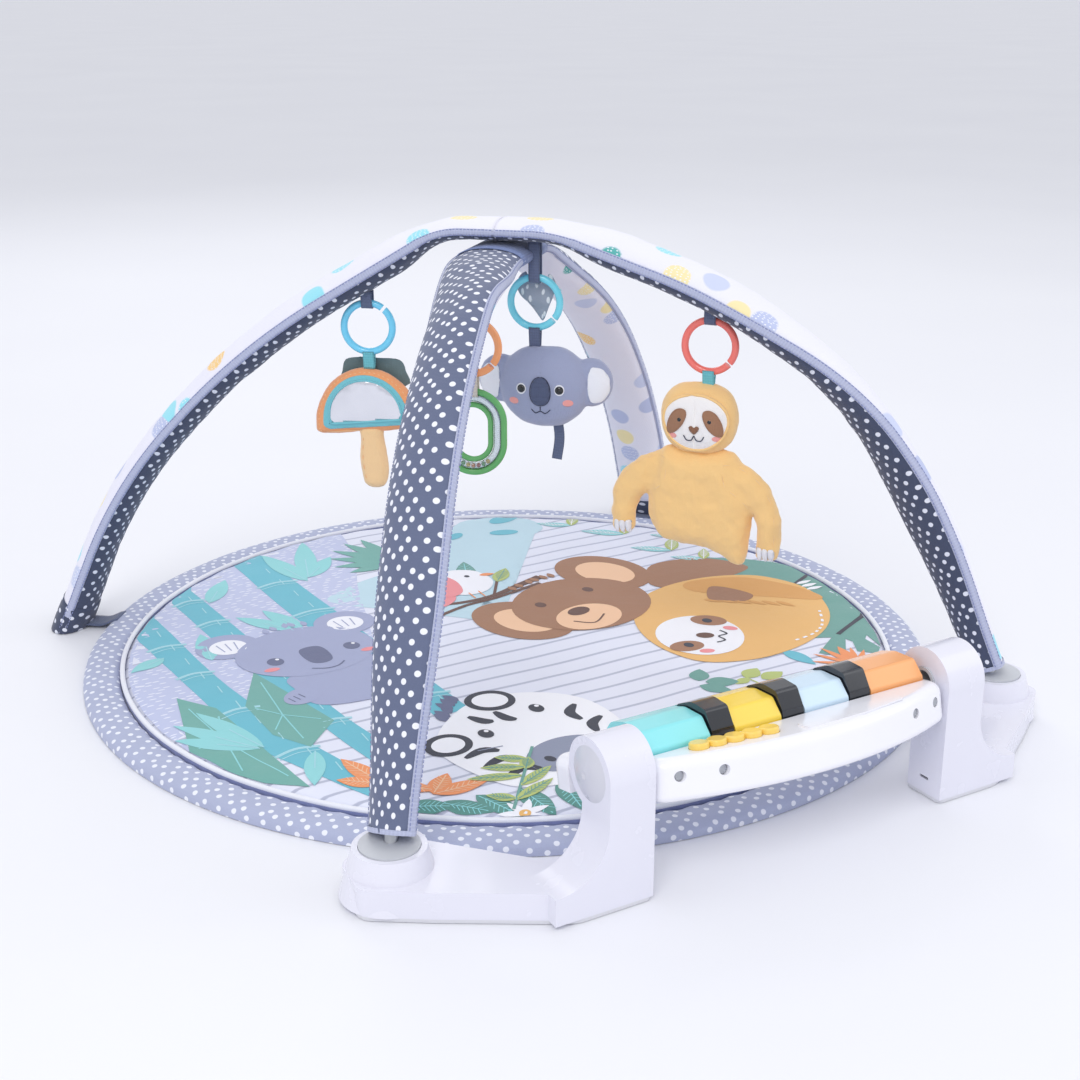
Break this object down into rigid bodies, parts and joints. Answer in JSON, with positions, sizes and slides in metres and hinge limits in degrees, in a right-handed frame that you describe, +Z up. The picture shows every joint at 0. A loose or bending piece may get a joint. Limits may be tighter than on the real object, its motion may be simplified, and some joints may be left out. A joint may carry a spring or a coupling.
{
  "type": "activity play gym",
  "caption": "Round padded play mat under two crossed soft arches with hanging soft toys, a ring rattle and a tilting toy piano held by two plastic foot brackets.",
  "frame": {"origin": "middle of the footprint's bounding box, on the floor", "axes": "+Z up, +X along the piano, the piano is on the -Y side"},
  "size_m": [0.8599, 0.9468, 0.4435],
  "materials": {
    "mat_panel": "printed plush",
    "mat_piping": "woven",
    "mat_border": "dotted satin weave",
    "sleeve_front_right": "smooth weave",
    "sleeve_rear_left": "smooth weave",
    "sleeve_front_left": "smooth weave",
    "sleeve_rear_right": "smooth weave",
    "rod_front_right": "zinc plated",
    "rod_rear_left": "zinc plated",
    "rod_front_left": "zinc plated",
    "rod_rear_right": "zinc plated",
    "rod_connectors": "moulded",
    "rod_foot_caps": "moulded",
    "mat_straps": "webbing",
    "crossing_band": "woven",
    "leg_ferrules": "moulded",
    "bracket_right": "gloss",
    "bracket_left": "gloss",
    "bracket_base_plates": "moulded",
    "hub_caps": "silver-grey",
    "bracket_screws": "zinc plated",
    "foot_pads": "soft",
    "toy_loops": "webbing",
    "piano_top_shell": "gloss",
    "piano_bottom_shell": "gloss",
    "key_aqua": "gloss",
    "key_yellow": "gloss",
    "key_blue": "gloss",
    "key_orange": "gloss",
    "key_black_1": "gloss",
    "key_black_2": "gloss",
    "key_black_3": "gloss",
    "strip_button": "gloss",
    "contact_strip": "silicone",
    "circuit_board": "coated",
    "speaker": "black",
    "batteries": "plain wrapped",
    "battery_door": "gloss",
    "power_switch": "moulded",
    "piano_screws": "zinc plated",
    "pivot_hubs": "moulded",
    "link_ring_mushroom": "gloss",
    "mushroom_cap": "plush",
    "mushroom_stem": "plush",
    "mushroom_mirror": "soft mirror film",
    "mushroom_flap": "crinkle film weave",
    "mushroom_strap": "webbing",
    "link_ring_koala": "gloss",
    "crinkle_leaf": "printed weave",
    "koala_head": "plush",
    "koala_strap": "webbing",
    "link_ring_rattle": "gloss",
    "rattle_strap": "webbing",
    "rattle_rings": "gloss",
    "rattle_tube": "clear plastic",
    "rattle_beads": "gloss",
    "link_ring_sloth": "gloss",
    "sloth_strap": "webbing",
    "sloth_head": "plush",
    "sloth_body": "plush"
  },
  "bodies": {
    "gym": {"mat_panel": "mat_panel", "mat_piping": "mat_piping", "mat_border": "mat_border", "sleeve_front_right": "sleeve_front_right", "sleeve_rear_left": "sleeve_rear_left", "sleeve_front_left": "sleeve_front_left", "sleeve_rear_right": "sleeve_rear_right", "rod_front_right": "rod_front_right", "rod_rear_left": "rod_rear_left", "rod_front_left": "rod_front_left", "rod_rear_right": "rod_rear_right", "rod_connectors": "rod_connectors", "rod_foot_caps": "rod_foot_caps", "mat_straps": "mat_straps", "crossing_band": "crossing_band", "leg_ferrules": "leg_ferrules", "bracket_right": "bracket_right", "bracket_left": "bracket_left", "bracket_base_plates": "bracket_base_plates", "hub_caps": "hub_caps", "bracket_screws": "bracket_screws", "foot_pads": "foot_pads", "toy_loops": "toy_loops"},
    "piano": {"piano_top_shell": "piano_top_shell", "piano_bottom_shell": "piano_bottom_shell", "contact_strip": "contact_strip", "circuit_board": "circuit_board", "speaker": "speaker", "batteries": "batteries", "battery_door": "battery_door", "piano_screws": "piano_screws", "pivot_hubs": "pivot_hubs"},
    "key_aqua": {"key_aqua": "key_aqua"},
    "key_yellow": {"key_yellow": "key_yellow"},
    "key_blue": {"key_blue": "key_blue"},
    "key_orange": {"key_orange": "key_orange"},
    "key_black_1": {"key_black_1": "key_black_1"},
    "key_black_2": {"key_black_2": "key_black_2"},
    "key_black_3": {"key_black_3": "key_black_3"},
    "strip": {"strip_button": "strip_button"},
    "switch": {"power_switch": "power_switch"},
    "ring_mushroom": {"link_ring_mushroom": "link_ring_mushroom"},
    "mushroom": {"mushroom_cap": "mushroom_cap", "mushroom_stem": "mushroom_stem", "mushroom_mirror": "mushroom_mirror", "mushroom_flap": "mushroom_flap", "mushroom_strap": "mushroom_strap"},
    "ring_koala": {"link_ring_koala": "link_ring_koala", "crinkle_leaf": "crinkle_leaf"},
    "koala": {"koala_head": "koala_head", "koala_strap": "koala_strap"},
    "ring_rattle": {"link_ring_rattle": "link_ring_rattle"},
    "rattle": {"rattle_strap": "rattle_strap", "rattle_rings": "rattle_rings", "rattle_tube": "rattle_tube"},
    "beads": {"rattle_beads": "rattle_beads"},
    "ring_sloth": {"link_ring_sloth": "link_ring_sloth"},
    "sloth": {"sloth_head": "sloth_head", "sloth_body": "sloth_body", "sloth_strap": "sloth_strap"}
  },
  "joints": [
    {"name": "piano_tilt", "type": "hinge", "parent": "gym", "child": "piano", "pos_m": [0, -0.41157, 0.104], "axis": [1, 0, 0], "range_deg": [-22, 20]},
    {"name": "key_aqua_press", "type": "hinge", "parent": "piano", "child": "key_aqua", "pos_m": [0, -0.4178, 0.10839], "axis": [1, 0, 0], "range_deg": [-4, 0], "stiffness_Nm_per_rad": 0.5, "springref_deg": 5.73},
    {"name": "key_yellow_press", "type": "hinge", "parent": "piano", "child": "key_yellow", "pos_m": [0, -0.4178, 0.10839], "axis": [1, 0, 0], "range_deg": [-4, 0], "stiffness_Nm_per_rad": 0.5, "springref_deg": 5.73},
    {"name": "key_blue_press", "type": "hinge", "parent": "piano", "child": "key_blue", "pos_m": [0, -0.4178, 0.10839], "axis": [1, 0, 0], "range_deg": [-4, 0], "stiffness_Nm_per_rad": 0.5, "springref_deg": 5.73},
    {"name": "key_orange_press", "type": "hinge", "parent": "piano", "child": "key_orange", "pos_m": [0, -0.4178, 0.10839], "axis": [1, 0, 0], "range_deg": [-4, 0], "stiffness_Nm_per_rad": 0.5, "springref_deg": 5.73},
    {"name": "key_black_1_press", "type": "hinge", "parent": "piano", "child": "key_black_1", "pos_m": [0, -0.4178, 0.10839], "axis": [1, 0, 0], "range_deg": [-4, 0], "stiffness_Nm_per_rad": 0.5, "springref_deg": 5.73},
    {"name": "key_black_2_press", "type": "hinge", "parent": "piano", "child": "key_black_2", "pos_m": [0, -0.4178, 0.10839], "axis": [1, 0, 0], "range_deg": [-4, 0], "stiffness_Nm_per_rad": 0.5, "springref_deg": 5.73},
    {"name": "key_black_3_press", "type": "hinge", "parent": "piano", "child": "key_black_3", "pos_m": [0, -0.4178, 0.10839], "axis": [1, 0, 0], "range_deg": [-4, 0], "stiffness_Nm_per_rad": 0.5, "springref_deg": 5.73},
    {"name": "strip_press", "type": "slide", "parent": "piano", "child": "strip", "axis": [0, -0.2079, -0.9781], "range_m": [0, 0.0015], "stiffness_N_per_m": 300, "springref_m": -0.002},
    {"name": "switch_slide", "type": "slide", "parent": "piano", "child": "switch", "axis": [1, 0, 0], "range_m": [0, 0.005]},
    {"name": "mushroom_ring_swing", "type": "hinge", "parent": "gym", "child": "ring_mushroom", "pos_m": [-0.10712, 0.13058, 0.3579], "axis": [0.7934, -0.6088, 0], "range_deg": [-20, 20]},
    {"name": "mushroom_swing", "type": "hinge", "parent": "ring_mushroom", "child": "mushroom", "pos_m": [-0.10712, 0.13058, 0.3091], "axis": [0.7934, -0.6088, 0], "range_deg": [-20, 20]},
    {"name": "koala_ring_swing", "type": "hinge", "parent": "gym", "child": "ring_koala", "pos_m": [0.02127, 0.02187, 0.3884], "axis": [0.7193, -0.6947, 0], "range_deg": [-20, 20]},
    {"name": "koala_swing", "type": "hinge", "parent": "ring_koala", "child": "koala", "pos_m": [0.02127, 0.02187, 0.3396], "axis": [0.7193, -0.6947, 0], "range_deg": [-20, 20]},
    {"name": "rattle_ring_swing", "type": "hinge", "parent": "gym", "child": "ring_rattle", "pos_m": [-0.08407, -0.04426, 0.3684], "axis": [0.7716, -0.6361, 0], "range_deg": [-20, 20]},
    {"name": "rattle_swing", "type": "hinge", "parent": "ring_rattle", "child": "rattle", "pos_m": [-0.08407, -0.04426, 0.3196], "axis": [0.7716, -0.6361, 0], "range_deg": [-20, 20]},
    {"name": "sloth_ring_swing", "type": "hinge", "parent": "gym", "child": "ring_sloth", "pos_m": [0.13283, -0.11293, 0.3584], "axis": [0.6361, -0.7716, 0], "range_deg": [-20, 20]},
    {"name": "sloth_swing", "type": "hinge", "parent": "ring_sloth", "child": "sloth", "pos_m": [0.13283, -0.11293, 0.3096], "axis": [0.6361, -0.7716, 0], "range_deg": [-20, 20]},
    {"name": "beads_roll", "type": "hinge", "parent": "rattle", "child": "beads", "pos_m": [-0.08407, -0.04426, 0.255], "axis": [0.6361, 0.7716, 0], "range_deg": [-45, 45]}
  ]
}
